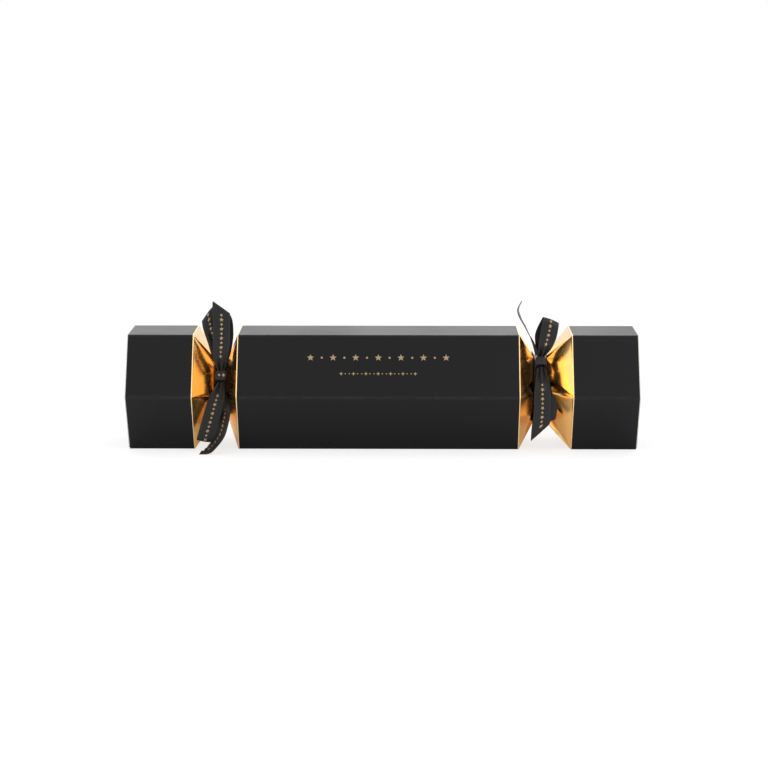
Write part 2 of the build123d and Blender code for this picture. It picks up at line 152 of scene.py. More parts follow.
# Bands and knots
BAND_FLOOR = 3.6 * MM        # height of the band's middle over the ridges at the tie
BAND_TOP = 5.6 * MM          # height of its edges
BAND_STOPS = (-1.0, -0.4, 0.4, 1.0)    # shares of the band's width at which its section bends
BAND_WAVE = 0.3 * MM
BAND_WAVES = 3.5             # waves across the band
BAND_WINDOW = 3 * MM         # stretch of the band that its rounding over a ridge takes up
BAND_STEPS = 24              # rows from ridge to ridge
KNOT_HALF_WIDTH = 3.1 * MM
KNOT_HALF_DEPTH = 2.3 * MM
KNOT_SQUARENESS = 0.75       # 1 is an ellipse, and less is squarer
KNOT_SHOWN = 5.6 * MM        # width of ribbon left between the folded edges
KNOT_FOLD = 0.45 * MM
KNOT_CREASE = 0.08 * MM
KNOT_CREASES = 7             # radians of the crease wave from the ribbon's middle to its edge
KNOT_STEPS = 64
KNOT_PRINTED = (0.1, 0.4)    # shares of the left knot's turn between which it carries print

# Small generic ornament in gold
PRINT_LIFT = 0.06 * MM
PRINT_STEP = 2.7 * MM        # distance from mark to mark along a ribbon
PRINT_ROOM = 0.8             # share of its width that a ribbon needs, spread flat, to carry print
RIBBON_STAR = 1.35 * MM
RIBBON_DIAMOND = 0.9 * MM

# Papers in the barrel, and the candle's wick and tin
TISSUE = 0.12 * MM           # thickness of the crown and the motto
PAPER_POINTS = 13            # points across a paper
ROLL_STEPS = 24              # points on each half turn of a roll
CROWN_POINT = 12.0 * MM
CROWN_PITCH = 50.0 * MM
CROWN_HALF_TURNS = 16
CROWN_CORE = 3.4 * MM
CROWN_REACH = 8.5 * MM
CROWN_GAP = 0.14 * MM        # half the gap between the crown's two layers
MOTTO_HALF_TURNS = 5
MOTTO_CORE = 2.2 * MM
MOTTO_REACH = 4.3 * MM
STRANDS = 3
STRAND_RADIUS = 0.5 * MM
STRAND_OFFSET = 0.42 * MM    # distance of a strand's middle from the wick's
STRAND_PITCH = 5.0 * MM
STRAND_ROWS = 60
STRAND_SIDES = 8
RING_PITCH = 1.6 * MM        # rings left by the drawing of the candle's tin


class End:
    """One end of the cracker: where its neck, tie and cap lie, and how its foil is folded."""

    def __init__(self, name, side, tie_radius, knot_angle, inner_bulge, outer_bulge, buckle,
                 winding, fold_turn):
        inner_low, inner_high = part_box(name + "_neck_inner")
        outer_low, outer_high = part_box(name + "_neck_outer")
        self.name = name
        self.body = name + "_end"
        self.side = side
        self.barrel_x = inner_low.x if side > 0 else inner_high.x
        self.waist_x = inner_high.x if side > 0 else inner_low.x
        self.cap_x = outer_high.x if side > 0 else outer_low.x
        self.ridge = tie_radius
        self.valley = tie_radius - PLEAT_DEPTH
        self.knot_angle = math.radians(knot_angle)
        self.bulges = {"inner": inner_bulge, "outer": outer_bulge}
        self.buckle = buckle
        self.winding = winding
        self.fold_turn = fold_turn


LEFT = End("left", -1, tie_radius=13.4 * MM, knot_angle=25.0, inner_bulge=0.6 * MM, outer_bulge=1.5 * MM,
           buckle=0.12 * MM, winding=-1, fold_turn=34)
RIGHT = End("right", 1, tie_radius=16.5 * MM, knot_angle=43.5, inner_bulge=0.6 * MM, outer_bulge=2.0 * MM,
            buckle=0.35 * MM, winding=1, fold_turn=16)

# Ribbon routes in millimetres. Each station is along X from the tie, Y, height above the axis, width, the
# turn of the width about Z in degrees, and the slope of the width where the ribbon is cut or folded aslant.
ROUTES = {
    "left_ribbon_upper_tail": [
        (-1.0, -20.8, 13.4, 3.5, 0, 0),
        (-1.2, -21.6, 19.0, 7.5, 0, 0),
        (-0.6, -21.6, 29.0, 10.0, 5, 0),
        (-0.4, -20.2, 40.0, 10.0, 8, 0),
        (-0.6, -18.4, 50.3, 12.4, 0, -0.72),
    ],
    "left_ribbon_upper_loop": [
        (-1.6, -18.4, 13.6, 3.0, 0, 0),
        (-2.9, -17.8, 20.0, 6.2, 0, 0.1),
        (-5.0, -17.0, 30.0, 7.8, 10, 0.3),
        (-7.2, -16.2, 38.6, 9.6, 10, 0.6),
        (-8.5, -15.3, 45.2, 12.0, 0, 1.3),
        (-8.7, -14.3, 46.0, 12.0, 0, 1.3),
        (-8.2, -13.3, 45.4, 12.0, 0, 1.4),
        (-3.6, -12.8, 44.6, 10.2, 0, 1.5),
        (0.3, -12.8, 41.4, 10.4, 0, 0.8),
        (1.4, -14.0, 33.0, 10.0, 0, 0.36),
        (1.2, -15.6, 22.6, 7.0, 0, 0.2),
        (-0.4, -16.4, 13.6, 3.0, 0, 0),
    ],
    "left_ribbon_lower_loop": [
        (-1.0, -23.0, 6.2, 3.4, 0, 0),
        (-2.4, -25.0, 0.5, 7.4, 0, -0.1),
        (-4.0, -26.6, -5.0, 9.4, 0, -0.2),
        (-6.5, -27.4, -14.5, 10.0, 0, -0.26),
        (-10.1, -28.0, -26.9, 10.0, 0, -0.15),
        (-10.3, -27.1, -28.0, 10.0, 0, -0.12),
        (-9.8, -26.2, -26.9, 10.0, 0, -0.15),
        (-4.2, -25.6, -14.5, 10.0, 0, -0.26),
        (-2.2, -24.2, -4.0, 7.4, 0, -0.1),
        (-1.6, -21.4, 5.2, 3.0, 0, 0),
    ],
    "left_ribbon_lower_tail": [
        (-0.7, -20.8, 2.6, 3.0, 0, 0),
        (0.4, -21.6, -4.0, 5.8, -15, 0),
        (1.3, -23.6, -7.6, 7.6, -34, 0),
        (1.8, -26.6, -11.4, 9.2, -50, 0),
        (1.0, -30.6, -16.5, 10.0, -54, -0.1),
        (-0.7, -33.4, -22.6, 10.0, -60, -0.26),
    ],
    "right_ribbon_upper_loop": [
        (1.0, -16.9, 21.2, 3.2, 0, 0),
        (2.9, -18.4, 26.0, 7.4, 0, -0.15),
        (4.9, -18.4, 33.0, 9.8, 0, -0.22),
        (6.5, -17.0, 41.4, 9.9, 0, -0.37),
        (6.6, -15.4, 42.5, 9.9, 0, -0.38),
        (6.0, -13.9, 41.2, 9.9, 0, -0.37),
        (2.6, -12.2, 33.0, 10.0, 0, -0.15),
        (1.4, -13.4, 26.5, 7.0, 0, -0.1),
        (0.4, -15.3, 20.2, 3.0, 0, 0),
    ],
    "right_ribbon_upper_tail": [
        (-1.6, -16.2, 21.8, 3.0, 87, -0.14),
        (-3.4, -15.6, 27.6, 7.4, 86, -0.14),
        (-7.5, -14.6, 36.4, 10.0, 86, -0.14),
        (-11.7, -14.2, 44.6, 10.0, 81, -0.14),
        (-12.6, -14.2, 48.6, 10.0, 83, -0.14),
        (-10.6, -14.2, 53.5, 10.0, 87, -0.14),
    ],
    "right_ribbon_lower_tail": [
        (0.9, -22.5, 15.6, 3.4, 0, 0),
        (1.2, -25.4, 9.0, 7.0, 0, 0),
        (1.5, -27.6, 0.0, 9.8, 0, 0),
        (1.4, -28.2, -12.0, 10.2, 0, 0),
        (0.2, -28.0, -22.6, 14.4, 0, 0.92),
    ],
    "right_ribbon_lower_loop": [
        (2.4, -21.0, 14.3, 2.2, 0, 0),
        (2.6, -24.0, 8.0, 5.4, 0, 0),
        (3.4, -26.0, 0.6, 8.6, 0, -0.1),
        (5.2, -26.6, -6.0, 10.0, 0, -0.05),
        (5.0, -26.6, -12.0, 10.0, 0, 0.15),
        (4.6, -25.8, -16.2, 9.6, 0, 0.3),
        (4.2, -25.0, -12.0, 9.4, 0, 0.15),
        (2.6, -24.4, -2.0, 7.4, 0, 0),
        (1.0, -22.6, 8.4, 4.0, 0, 0),
        (-0.6, -20.4, 14.2, 2.2, 0, 0),
    ],
}
# Last stretch of the left lower tail, which lies on the ground: its heights are above the ground.
LEFT_TAIL_ON_GROUND = [
    (-4.4, -33.9, 5.6, 10.0, -73, -0.32),
    (-8.4, -34.1, 1.8, 10.0, -86, -0.25),
    (-11.1, -34.1, 1.5, 8.3, -123, -0.3),
]


# Node helpers

class Graph:
    """Short ways to add and link shader nodes."""

    def __init__(self, tree):
        self.tree = tree

    def link(self, source, target):
        self.tree.links.new(source, target)

    def node(self, kind, **inputs):
        made = self.tree.nodes.new(kind)
        for socket, value in inputs.items():
            self.feed(made.inputs[socket.replace("_", " ")], value)
        return made

    def feed(self, socket, value):
        if isinstance(value, bpy.types.NodeSocket):
            self.link(value, socket)
        else:
            socket.default_value = value

    def math(self, operation, first, second=0.0):
        made = self.tree.nodes.new("ShaderNodeMath")
        made.operation = operation
        self.feed(made.inputs[0], first)
        self.feed(made.inputs[1], second)
        return made.outputs[0]

    def vector_math(self, operation, *vectors):
        made = self.tree.nodes.new("ShaderNodeVectorMath")
        made.operation = operation
        for socket, vector in zip(made.inputs, vectors):
            self.link(vector, socket)
        return made.outputs

    def wave(self, value, pitch):
        """Sine wave of a distance, from -1 to 1."""
        return self.math("SINE", self.math("MULTIPLY", value, 2 * math.pi / pitch))

    def object_place(self):
        return self.tree.nodes.new("ShaderNodeTexCoord").outputs["Object"]

    def object_normal(self):
        return self.tree.nodes.new("ShaderNodeTexCoord").outputs["Normal"]

    def parts(self, vector):
        return self.node("ShaderNodeSeparateXYZ", Vector=vector).outputs

    def noise(self, size, detail=3.0):
        """Noise with lumps of about this size in metres, from 0 to 1."""
        made = self.node("ShaderNodeTexNoise", Vector=self.object_place(), Scale=1 / size, Detail=detail)
        return made.outputs["Fac"]

    def between(self, value, low, high, at_low=0.0, at_high=1.0):
        made = self.tree.nodes.new("ShaderNodeMapRange")
        made.interpolation_type = "SMOOTHSTEP"
        for socket, number in zip(made.inputs[:5], (value, low, high, at_low, at_high)):
            self.feed(socket, number)
        return made.outputs[0]

    def mix(self, kind, share, first, second):
        made = self.tree.nodes.new("ShaderNodeMix")
        made.data_type = kind
        self.feed(made.inputs["Factor"], share)
        self.feed(made.inputs["A"], first)
        self.feed(made.inputs["B"], second)
        return made.outputs["Result"]

    def blend(self, share, first, second):
        return self.mix("RGBA", share, first, second)

    def blend_values(self, share, first, second):
        return self.mix("FLOAT", share, first, second)

    def tone(self, tones, size, detail=3.0):
        """Colour that wanders between two tones over lumps of a size."""
        return self.blend(self.noise(size, detail), *tones)

    def wander(self, low, high, size, detail=3.0):
        """Value that wanders from low to high over lumps of a size."""
        return self.between(self.noise(size, detail), *NOISE_RANGE, low, high)

    def seen(self):
        """1 where the camera looks, straight or through something clear."""
        path = self.node("ShaderNodeLightPath").outputs
        return self.math("MAXIMUM", path["Is Camera Ray"], path["Is Transmission Ray"])

    def mirrored(self):
        """1 where a mirror looks."""
        return self.node("ShaderNodeLightPath").outputs["Is Glossy Ray"]


class Finish(Graph):
    """A procedural material under construction."""

    def __init__(self, name):
        self.material = bpy.data.materials.new(name)
        self.material.use_nodes = True
        super().__init__(self.material.node_tree)
        self.shader = self.tree.nodes["Principled BSDF"]

    def set(self, **values):
        for socket, value in values.items():
            self.shader.inputs[socket.replace("_", " ")].default_value = value

    def bump(self, height, distance, strength=1.0):
        made = self.node("ShaderNodeBump", Height=height, Distance=distance, Strength=strength)
        self.link(made.outputs["Normal"], self.shader.inputs["Normal"])

    def colour(self, value):
        self.feed(self.shader.inputs["Base Color"], value)

    def rough(self, value):
        self.feed(self.shader.inputs["Roughness"], value)


# Finishes

def off_axis(finish, axis_z):
    """Vector to the surface from a line along X at a height, square to that line."""
    _, y, z = finish.parts(finish.object_place())
    return finish.node("ShaderNodeCombineXYZ", Y=y, Z=finish.math("SUBTRACT", z, axis_z)).outputs[0]


def radial_share(finish):
    """Facing away from the cracker's long axis, 1 outside a tube and -1 inside, and distance from it."""
    outward = off_axis(finish, AXIS_Z)
    straight = finish.vector_math("NORMALIZE", outward)["Vector"]
    facing = finish.vector_math("DOT_PRODUCT", straight, finish.object_normal())["Value"]
    return facing, finish.vector_math("LENGTH", outward)["Value"]


def card_surface(finish, outside, reach):
    """Soft-touch black laminate where outside is 1, and bare pale board where it is 0."""
    board = finish.tone(BOARD_TONES, 0.9 * MM, 6.0)
    # The creases turn a paler black in patches: partly edge wear, partly a painted highlight along the
    # rounded corners.
    crease = finish.between(reach, HEX_SIDE - CREASE_WEAR_AND_HIGHLIGHT_START, HEX_SIDE - CREASE_WEAR_AND_HIGHLIGHT_FULL)
    patchy = finish.between(finish.noise(7 * MM, 5.0), 0.3, 0.75, 0.25, 0.8)
    worn_and_highlit = finish.math("MULTIPLY", crease, patchy)
    black = finish.blend(finish.math("MULTIPLY", worn_and_highlit, 0.8), BLACK, BLACK_WORN_AND_HIGHLIT)
    finish.colour(finish.blend(outside, board, black))
    finish.rough(finish.blend_values(outside, 0.85, finish.wander(0.36, 0.42, 45 * MM, 2.0)))
    finish.bump(finish.noise(0.35 * MM, 2.0), 0.012 * MM, 0.35)
    finish.set(Specular_IOR_Level=0.17)


def black_card():
    finish = Finish("black_card")
    facing, reach = radial_share(finish)
    card_surface(finish, finish.between(facing, 0.2, 0.4), reach)
    return finish.material


def lid_card(end):
    """The lid is black on its outer side and under its tuck flap."""
    finish = Finish(end.name + "_lid_card")
    x, _, z = finish.parts(finish.object_normal())
    outer = finish.math("MULTIPLY", x, float(end.side))
    under = finish.math("MULTIPLY", z, -1.0)
    _, reach = radial_share(finish)
    card_surface(finish, finish.between(finish.math("MAXIMUM", outer, under), 0.5, 0.7), reach)
    return finish.material


def gold_foil():
    """Amber foil with a shallow ripple and a trace of grain."""
    finish = Finish("gold_foil")
    finish.set(Metallic=1.0)
    finish.colour(finish.tone(FOIL_TONES, 9 * MM, 2.0))
    finish.rough(finish.wander(0.17, 0.23, 5 * MM, 4.0))
    grain = finish.math("MULTIPLY", finish.noise(0.6 * MM), 0.012)
    finish.bump(finish.math("ADD", finish.noise(11 * MM, 2.0), grain), 0.08 * MM)
    return finish.material


def foil_rim():
    """Paler gold where the foil is creased over the edge of a tube."""
    finish = Finish("foil_rim")
    finish.set(Metallic=1.0)
    finish.colour(finish.tone(RIM_TONES, 3 * MM))
    finish.rough(finish.wander(0.30, 0.40, 2 * MM))
    finish.bump(finish.noise(1.5 * MM), 0.03 * MM, 0.5)
    return finish.material


def pale_board():
    finish = Finish("pale_board")
    finish.colour(finish.tone(BOARD_TONES, 0.9 * MM, 6.0))
    finish.rough(finish.wander(0.8, 0.9, 3 * MM))
    finish.bump(finish.noise(0.4 * MM, 4.0), 0.02 * MM, 0.5)
    return finish.material


def gold_print():
    finish = Finish("gold_print")
    finish.set(Metallic=0.85)
    finish.colour(finish.tone(PRINT_TONES, 0.8 * MM))
    finish.rough(finish.wander(0.30, 0.45, 1.2 * MM))
    finish.bump(finish.noise(0.3 * MM), 0.01 * MM, 0.4)
    return finish.material


def satin_ribbon():
    """Black satin: fine lengthwise floats, and a closer weave with ribs across along both edges."""
    finish = Finish("satin_ribbon")
    lying = finish.tree.nodes.new("ShaderNodeUVMap")
    lying.uv_map = "ribbon"
    across, along, _ = finish.parts(lying.outputs["UV"])
    from_middle = finish.math("ABSOLUTE", finish.math("SUBTRACT", across, RIBBON_WIDTH / 2))
    body = finish.between(finish.math("SUBTRACT", RIBBON_WIDTH / 2, from_middle), *SELVEDGE)
    floats = finish.math("MULTIPLY", finish.wave(across, FLOAT_PITCH), 0.5)
    weave = finish.blend_values(body, finish.wave(along, RIB_PITCH), floats)
    finish.colour(finish.blend(body, SATIN_EDGE, finish.tone(SATIN_TONES, 2.2 * MM)))
    finish.rough(finish.blend_values(body, 0.55, finish.wander(0.34, 0.42, 2.2 * MM)))
    finish.bump(weave, 0.02 * MM, 0.5)
    finish.set(Sheen_Weight=0.03, Sheen_Roughness=0.4, Specular_IOR_Level=0.22)
    return finish.material


def plain_paper(name, tones, crinkle=0.0):
    """Matt fibrous paper; crinkle is the height of its creases against its grain."""
    finish = Finish(name)
    finish.colour(finish.tone(tones, 0.7 * MM, 6.0))
    finish.rough(finish.wander(0.78, 0.92, 2 * MM))
    creases = finish.math("MULTIPLY", finish.noise(4 * MM, 4.0), crinkle)
    finish.bump(finish.math("ADD", finish.noise(0.3 * MM, 4.0), creases), 0.03 * MM, 0.6)
    return finish.material


def snap_card():
    """Grey-brown board with the dark friction patch where the two strips overlap."""
    finish = Finish("snap_card")
    x, _, _ = finish.parts(finish.object_place())
    away = finish.math("ABSOLUTE", finish.math("SUBTRACT", x, BARREL_MIDDLE))
    patch = finish.between(away, PATCH_HALF - PATCH_EDGE, PATCH_HALF + PATCH_EDGE, 1.0, 0.0)
    board = finish.tone(SNAP_TONES, 0.8 * MM, 6.0)
    grit = finish.tone(GRIT_TONES, 0.3 * MM)
    finish.colour(finish.blend(patch, board, grit))
    finish.rough(finish.wander(0.8, 0.92, 2 * MM))
    finish.bump(finish.noise(0.3 * MM, 4.0), 0.03 * MM, 0.6)
    return finish.material


def spun_metal(name, tones, roughness):
    """Drawn metal with fine rings about the candle's own axis."""
    finish = Finish(name)
    tin_low, tin_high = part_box("candle_tin")
    reach = finish.vector_math("LENGTH", off_axis(finish, (tin_low.z + tin_high.z) / 2))["Value"]
    x, _, _ = finish.parts(finish.object_place())
    finish.set(Metallic=1.0)
    finish.colour(finish.tone(tones, 14 * MM, 1.0))
    finish.rough(finish.wander(roughness, roughness + 0.1, 12 * MM, 1.0))
    finish.bump(finish.wave(finish.math("ADD", reach, x), RING_PITCH), 0.003 * MM, 0.2)
    return finish.material


def candle_wax():
    finish = Finish("candle_wax")
    finish.colour(finish.tone(WAX_TONES, 8 * MM))
    finish.rough(finish.wander(0.38, 0.52, 6 * MM))
    finish.bump(finish.noise(5 * MM), 0.12 * MM, 0.5)
    finish.set(Subsurface_Weight=0.25, Subsurface_Scale=2 * MM)
    return finish.material


# Mesh helpers

def grid_faces(rows, columns, closed_rows=False, closed_columns=False, start=0):
    """Quads between rows of points; a closed side joins its end to its beginning."""
    faces = []
    for row in range(rows if closed_rows else rows - 1):
        above = start + row * columns
        below = start + (row + 1) % rows * columns
        for column in range(columns if closed_columns else columns - 1):
            after = (column + 1) % columns
            faces.append((above + column, above + after, below + after, below + column))
    return faces


def turned(faces, towards):
    """Faces of a tube whose rows run towards -X are turned over, so that they look outward."""
    return faces if towards > 0 else [face[::-1] for face in faces]


def piece(name, vertices, faces, materials, body, smooth=True):
    """A mesh object in the frame that rides on a body and takes its finish from a slot."""
    mesh = bpy.data.meshes.new(name)
    mesh.from_pydata([tuple(v) for v in vertices], [], faces)
    mesh.validate()
    for face in mesh.polygons:
        face.use_smooth = smooth
    for material in materials:
        mesh.materials.append(material)
    made = bpy.data.objects.new(name, mesh)
    bpy.context.scene.collection.objects.link(made)
    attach(made, body)
    return made


def thicken(made, thickness, offset=0.0, inner_material=0):
    shell = made.modifiers.new("thickness", "SOLIDIFY")
    shell.thickness = thickness
    shell.offset = offset
    shell.use_even_offset = False
    shell.material_offset = inner_material
    shell.material_offset_rim = inner_material
    return made


# Necks

def rounded_outline(corners, window, counts):
    """Samples of a closed outline, each the mean of a stretch of it, which rounds the corners."""
    after = np.roll(corners, -1, axis=0)
    lengths = np.linalg.norm(after - corners, axis=1)
    starts = np.concatenate([[0.0], np.cumsum(lengths)])
    halfway = (corners + after) / 2
    sums = np.concatenate([np.zeros((1, 2)), np.cumsum(halfway * lengths[:, None], axis=0)])

    def integral(places):
        turns = np.floor(places / starts[-1])
        inside = places - turns * starts[-1]
        edge = np.clip(np.searchsorted(starts, inside, side="right") - 1, 0, len(corners) - 1)
        way = (inside - starts[edge])[:, None]
        rise = (after[edge] - corners[edge]) / lengths[edge][:, None]
        return sums[edge] + corners[edge] * way + rise * way**2 / 2 + turns[:, None] * sums[-1]

    places = np.concatenate([start + length * spread(count)
                             for start, length, count in zip(starts, lengths, counts)])
    return (integral(places + window / 2) - integral(places - window / 2)) / window


def spread(count):
    """Shares from 0 up to 1, closer together at both ends."""
    return (1 - np.cos(math.pi * np.arange(count) / count)) / 2


def direction(degrees):
    angle = math.radians(degrees)
    return np.array([math.cos(angle), math.sin(angle)])


def neck_outline(end, share):
    """Folds round the neck, as (y, height above the axis), from the tube at 0 to the tie at 1.

    Each panel runs from a ridge to a slanting fold, tucks under there and comes out to the next ridge.
    """
    folds = [(FOLD_START, end.fold_turn, FOLD_REACH * end.ridge),
             (FOLD_START + FOLD_STEP, end.fold_turn - FOLD_UNDER, end.valley)]
    if end.winding < 0:
        folds = [(1 - start, 60 - turn, reach) for start, turn, reach in reversed(folds)]
    outline = []
    for k in range(6):
        corner = NECK_BASE * direction(60 * k)
        after = NECK_BASE * direction(60 * k + 60)
        ridge = end.ridge * direction(60 * k)
        outline.append(corner + (ridge - corner) * share)
        for start, turn, reach in folds:
            fold = corner + (after - corner) * start
            tie = reach * direction(60 * k + turn)
            outline.append(fold + (tie - fold) * share)
    return np.array(outline)


def neck_half(end, which, foil, board):
    """Foil-faced card that bends over the edge of a tube and runs down to the tie in pleats."""
    node = end.name + "_neck_" + which
    base_x = end.barrel_x if which == "inner" else end.cap_x
    towards = math.copysign(1.0, end.waist_x - base_x)
    columns = [PANEL_COLUMNS, FOLD_COLUMNS, TUCK_COLUMNS][::end.winding]
    heights = [PANEL_CROWN, FOLD_CROWN, TUCK_CROWN][::end.winding]
    crown = np.concatenate([height * 4 * spread(count) * (1 - spread(count))
                            for height, count in zip(heights, columns)] * 6)
    outward = np.repeat([direction(60 * k + 30) for k in range(6)], sum(columns), axis=0)
    counts = columns * 6
    base = rounded_outline(neck_outline(end, 0.0), FOLD_WINDOW, counts)
    rows = []
    for along, lift in LIP_ROWS:
        rows.append((base_x + towards * along * LIP, base * (HEX_SIDE + lift / COS30) / NECK_BASE))
    start_x = base_x + towards * LIP
    for share in np.linspace(0, 1, CONE_ROWS):
        swell = share**SWELL_RISE * max(1 - (share / PRESSED)**SWELL_FALL, 0)
        x = start_x + (end.waist_x - start_x) * share
        outline = rounded_outline(neck_outline(end, share), FOLD_WINDOW, counts)
        buckle = np.array([noise.noise(Vector((x, y, z)) / BUCKLE_LUMP) for y, z in outline])
        lift = swell * (end.bulges[which] * crown + end.buckle * buckle)
        rows.append((x, outline + outward * lift[:, None]))
    vertices = [(x, y, AXIS_Z + z) for x, outline in rows for y, z in outline]
    faces = turned(grid_faces(len(rows), len(base), closed_columns=True), towards)
    made = piece(node + "_foil", vertices, faces, [foil, board], end.body)
    thicken(made, CARD, offset=-1.0, inner_material=1)
    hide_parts(node)
    return made


def hexagon_outline(side):
    """Points (y, height above the axis) round a hexagon with rounded corners."""
    points = []
    for k in range(6):
        centre = (side - CREASE_RADIUS / COS30) * direction(60 * k)
        for turn in np.linspace(-30, 30, CREASE_POINTS):
            points.append(centre + CREASE_RADIUS * direction(60 * k + turn))
    return points


def foil_edge(name, body, edge_x, towards, foil):
    """Narrow border of foil round the open edge of a black tube; towards is the way out of the tube."""
    profile = [(-FOIL_EDGE, -PRINT_LIFT), (-FOIL_EDGE, PRINT_LIFT), (0.0, PRINT_LIFT), (0.0, -PRINT_LIFT)]
    vertices = []
    for along, lift in profile:
        for y, height in hexagon_outline(HEX_SIDE + lift / COS30):
            vertices.append((edge_x + towards * along, y, AXIS_Z + height))
    rows = len(profile)
    faces = turned(grid_faces(rows, len(vertices) // rows, closed_rows=True, closed_columns=True), towards)
    return piece(name, vertices, faces, [foil], body, smooth=False)


# Ribbons

def smooth_rows(rows, per_span):
    """Smooth curve through rows of numbers, whose first three columns are places."""
    rows = np.array(rows, float)
    gaps = np.sqrt(np.linalg.norm(np.diff(rows[:, :3], axis=0), axis=1))
    slopes = np.diff(rows, axis=0) / gaps[:, None]
    tangents = np.zeros_like(rows)
    tangents[0] = slopes[0]
    tangents[-1] = slopes[-1]
    for i in range(1, len(rows) - 1):
        before, after = gaps[i - 1], gaps[i]
        tangents[i] = (slopes[i - 1] * after + slopes[i] * before) / (before + after)
    result = []
    for i in range(len(rows) - 1):
        for s in np.arange(per_span) / per_span:
            start = (2 * s**3 - 3 * s**2 + 1) * rows[i] + (s**3 - 2 * s**2 + s) * gaps[i] * tangents[i]
            stop = (3 * s**2 - 2 * s**3) * rows[i + 1] + (s**3 - s**2) * gaps[i] * tangents[i + 1]
            result.append(start + stop)
    result.append(rows[-1])
    return np.array(result)


def unit(vectors):
    return vectors / np.linalg.norm(vectors, axis=-1, keepdims=True)


def gathered(width, drift):
    """Section of a ribbon drawn in to a width, as (side, lift): its spare cloth stands in soft waves."""
    fullness = max(FLAT_SHARE * RIBBON_WIDTH / width, 1.0)
    height = width / (2 * math.pi * GATHERS) * math.sqrt(2 * (fullness**2 - 1))
    wave = height * np.sin(math.pi * GATHERS * SHARE + drift)
    return np.stack([SHARE * width / 2, wave + CUP * (1 - SHARE**2)], axis=1)


def tucked(width, radius, crease):
    """Section of a ribbon, as (side, lift), with both edges folded under to leave a width showing."""
    half = width / 2 - radius
    run = np.abs(SHARE) * RIBBON_WIDTH / 2
    turn = np.clip((run - half) / radius, 0, math.pi)
    side = np.minimum(run, half) + radius * np.sin(turn) - np.maximum(run - half - math.pi * radius, 0)
    lift = crease * np.sin(KNOT_CREASES * SHARE) - radius * (1 - np.cos(turn))
    return np.stack([np.sign(SHARE) * side, lift], axis=1)


class Strip:
    """A ribbon's surface as rows of points; face is 1 or -1 for the side of it that shows."""

    def __init__(self, points, across, sections, face, closed=False):
        self.closed = closed
        self.face = face
        if closed:
            ahead = np.roll(points, -1, axis=0) - np.roll(points, 1, axis=0)
        else:
            ahead = np.gradient(points, axis=0)
        normals = face * unit(np.cross(ahead, across))
        steps = np.linalg.norm(np.diff(points, axis=0), axis=1)
        self.along = np.concatenate([[0.0], np.cumsum(steps)])
        self.length = self.along[-1]
        if closed:
            self.length += np.linalg.norm(points[0] - points[-1])
        rows = []
        for point, side, normal, section in zip(points, across, normals, sections):
            row = point + np.outer(section[:, 0], side) + np.outer(section[:, 1], normal)
            slack = [SLACK * noise.noise(Vector(place) / SLACK_LUMP) for place in row]
            rows.append(row + np.outer(slack, normal))
        self.rows = np.array(rows)

    def faces(self):
        return grid_faces(len(self.rows), RIBBON_POINTS, closed_rows=self.closed)

    def place(self, across, along, lift):
        """Point over the side that shows, at a distance across from the middle and a distance along."""
        row = np.interp(along, self.along, np.arange(len(self.along)))
        low = min(int(row), len(self.rows) - 2)
        column = (across / RIBBON_WIDTH + 0.5) * RIBBON_COLUMNS
        left = min(int(column), RIBBON_COLUMNS - 1)
        corner = self.rows[low:low + 2, left:left + 2]
        part, side = row - low, column - left
        edge = corner[:, 0] * (1 - side) + corner[:, 1] * side
        normal = self.face * np.cross(corner[1, 0] - corner[0, 0], corner[0, 1] - corner[0, 0])
        return edge[0] * (1 - part) + edge[1] * part + unit(normal) * lift


def ribbon_piece(name, strip, satin, end):
    made = piece(name + "_cloth", strip.rows.reshape(-1, 3), strip.faces(), [satin], end.body)
    layer = made.data.uv_layers.new(name="ribbon")
    for loop in made.data.loops:
        row, column = divmod(loop.vertex_index, RIBBON_POINTS)
        layer.data[loop.index].uv = (column / RIBBON_COLUMNS * RIBBON_WIDTH, strip.along[row])
    thicken(made, RIBBON_THICKNESS)
    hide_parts(name)
    return made


def route_strip(end, name):
    """A loop or tail along its route."""
    stations = [(end.waist_x + x * MM, y * MM, AXIS_Z + z * MM, width * MM, turn, slope)
                for x, y, z, width, turn, slope in ROUTES[name]]
    if name == "left_ribbon_lower_tail":
        stations += [(end.waist_x + x * MM, y * MM, z * MM, width * MM, turn, slope)
                     for x, y, z, width, turn, slope in LEFT_TAIL_ON_GROUND]
    rows = smooth_rows(stations, ROWS_PER_SPAN)
    points = rows[:, :3]
    turn = np.radians(rows[:, 4])
    across = unit(np.stack([np.cos(turn), np.sin(turn), rows[:, 5]], axis=1))
    phase = len(name) * PHASE_PER_LETTER
    sections = [gathered(width, phase + DRIFT * noise.noise(Vector(point) / DRIFT_LUMP))
                for point, width in zip(points, rows[:, 3])]
    return Strip(points, across, sections, 1 if "lower" in name else -1)


def band_strip(end):
    """The ribbon's turn round the neck: it fills the groove and runs straight from ridge to ridge."""
    ridges = np.array([(end.ridge + BAND_FLOOR) * direction(60 * k) for k in range(6)])
    path = rounded_outline(ridges, BAND_WINDOW, [BAND_STEPS] * 6)
    points = np.column_stack([np.full(len(path), end.waist_x), path[:, 0], AXIS_Z + path[:, 1]])
    across = np.tile([1.0, 0.0, 0.0], (len(points), 1))
    heights = np.array([BAND_TOP, BAND_FLOOR, BAND_FLOOR, BAND_TOP])
    reach = np.repeat([end.barrel_x - end.waist_x, end.cap_x - end.waist_x], 2)
    sides = heights / (NECK_BASE - end.ridge) * reach
    if end.side < 0:
        sides = sides[::-1]
    side = np.interp(SHARE, BAND_STOPS, sides)
    lift = np.interp(SHARE, BAND_STOPS, heights - BAND_FLOOR) + CARD
    sections = []
    for turn in np.linspace(0, 2 * math.pi, len(points), endpoint=False):
        waves = BAND_WAVE * np.sin(BAND_WAVES * math.pi * SHARE + math.sin(2 * turn))
        sections.append(np.stack([side, lift + waves], axis=1))
    return Strip(points, across, sections, 1, closed=True)


